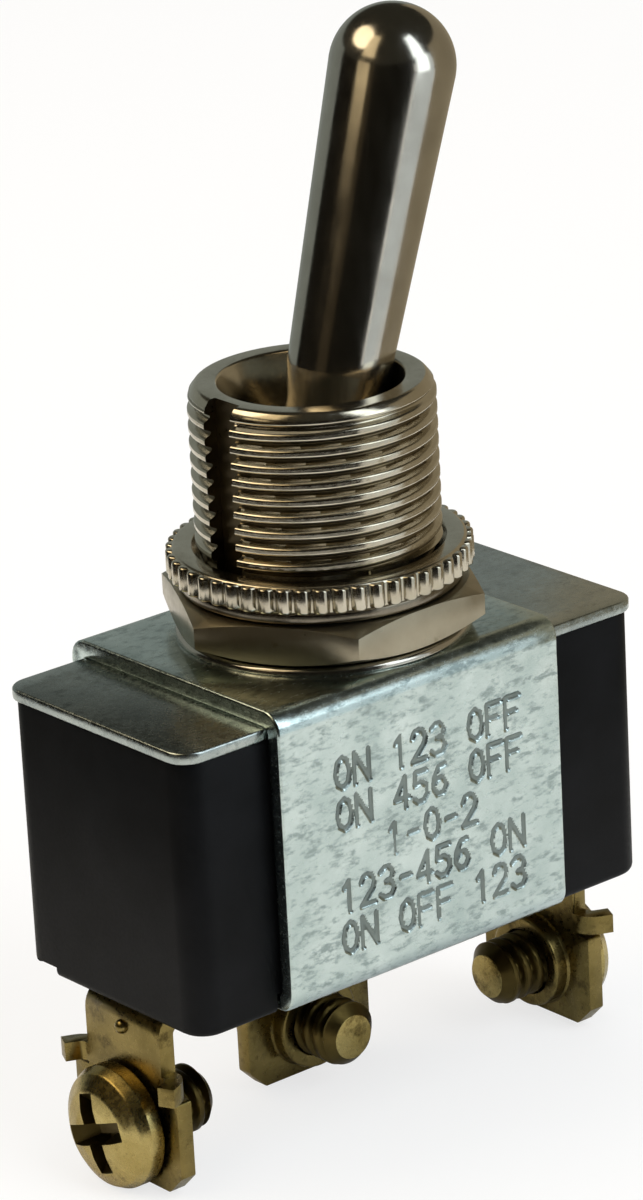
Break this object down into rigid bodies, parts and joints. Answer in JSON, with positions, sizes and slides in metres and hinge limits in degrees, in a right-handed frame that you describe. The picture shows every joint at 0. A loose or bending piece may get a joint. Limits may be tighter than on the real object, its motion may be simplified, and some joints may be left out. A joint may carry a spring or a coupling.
{
  "type": "panel toggle switch",
  "caption": "Panel-mounting toggle switch: a metal bat lever in a threaded bushing, a strapped black case and screw terminals underneath.",
  "frame": {"origin": "on the bushing axis at the front face of the ring nut, where the panel's rear face rests and the free thread starts", "axes": "+Z out of the panel along the bushing, X along the case's length in the plane the lever tilts in, the lever leaning to +X at rest, Y across the case"},
  "size_m": [0.0314, 0.0154, 0.0534],
  "materials": {
    "nickel_bright": "bright nickel plate on brass, polished",
    "nickel": "nickel plate on brass, as turned",
    "zinc": "bright zinc plate on steel, mottled",
    "zinc_grey": "dull grey zinc plate on steel",
    "steel": "bright drawn steel",
    "phenolic": "black moulded phenolic, satin",
    "fibre": "vulcanised fibre sheet, dull",
    "nylon": "natural nylon",
    "copper": "half-hard copper strip",
    "silver": "silver alloy",
    "brass": "dulled yellow brass"
  },
  "bodies": {
    "housing": {"bushing": "nickel", "lock_washer": "zinc", "frame_strap": "zinc", "cover_plate": "zinc_grey", "insulator": "fibre", "case": "phenolic", "fixed_contact_left": "silver", "fixed_contact_right": "silver", "fulcrum_bracket": "brass", "centre_rivet": "brass", "terminal_left": "brass", "terminal_right": "brass", "terminal_centre": "brass"},
    "lever": {"lever": "nickel_bright", "pivot_pin": "steel", "plunger_spring": "steel"},
    "plunger": {"plunger": "nylon"},
    "rocker": {"contact_rocker": "copper", "moving_contact_left": "silver", "moving_contact_right": "silver"},
    "ring_nut": {"ring_nut": "nickel_bright"},
    "hex_nut": {"hex_nut": "nickel"},
    "screw_left": {"screw_left": "brass"},
    "screw_right": {"screw_right": "brass"},
    "screw_centre": {"screw_centre": "brass"}
  },
  "joints": [
    {"name": "lever_tilt", "type": "hinge", "parent": "housing", "child": "lever", "pos_m": [0, 0, 0.00216], "axis": [0, 1, 0], "range_deg": [-33.5, 0]},
    {"name": "plunger_slide", "type": "slide", "parent": "lever", "child": "plunger", "axis": [0.2882, 0, 0.9576], "range_m": [0, 0.0012], "stiffness_N_per_m": 800, "springref_m": -0.004, "deforming": ["plunger_spring"]},
    {"name": "rocker_tilt", "type": "hinge", "parent": "housing", "child": "rocker", "pos_m": [0, 0, -0.01602], "axis": [0, 1, 0], "range_deg": [0, 12]},
    {"name": "ring_nut_turn", "type": "hinge", "parent": "housing", "child": "ring_nut", "pos_m": [0, 0, -0.00065], "axis": [0, 0, 1], "continuous": true},
    {"name": "hex_nut_turn", "type": "hinge", "parent": "housing", "child": "hex_nut", "pos_m": [0, 0, -0.003], "axis": [0, 0, 1], "continuous": true},
    {"name": "screw_left_turn", "type": "hinge", "parent": "housing", "child": "screw_left", "pos_m": [-0.0135, 0, -0.0257], "axis": [-1, 0, 0], "continuous": true},
    {"name": "screw_right_turn", "type": "hinge", "parent": "housing", "child": "screw_right", "pos_m": [0.0135, 0, -0.0257], "axis": [1, 0, 0], "continuous": true},
    {"name": "screw_centre_turn", "type": "hinge", "parent": "housing", "child": "screw_centre", "pos_m": [0, 0.00362, -0.0257], "axis": [0, 1, 0], "continuous": true}
  ],
  "couplings": [
    {"joint": "rocker_tilt", "follows": "lever_tilt", "ratio": -0.35821}
  ]
}
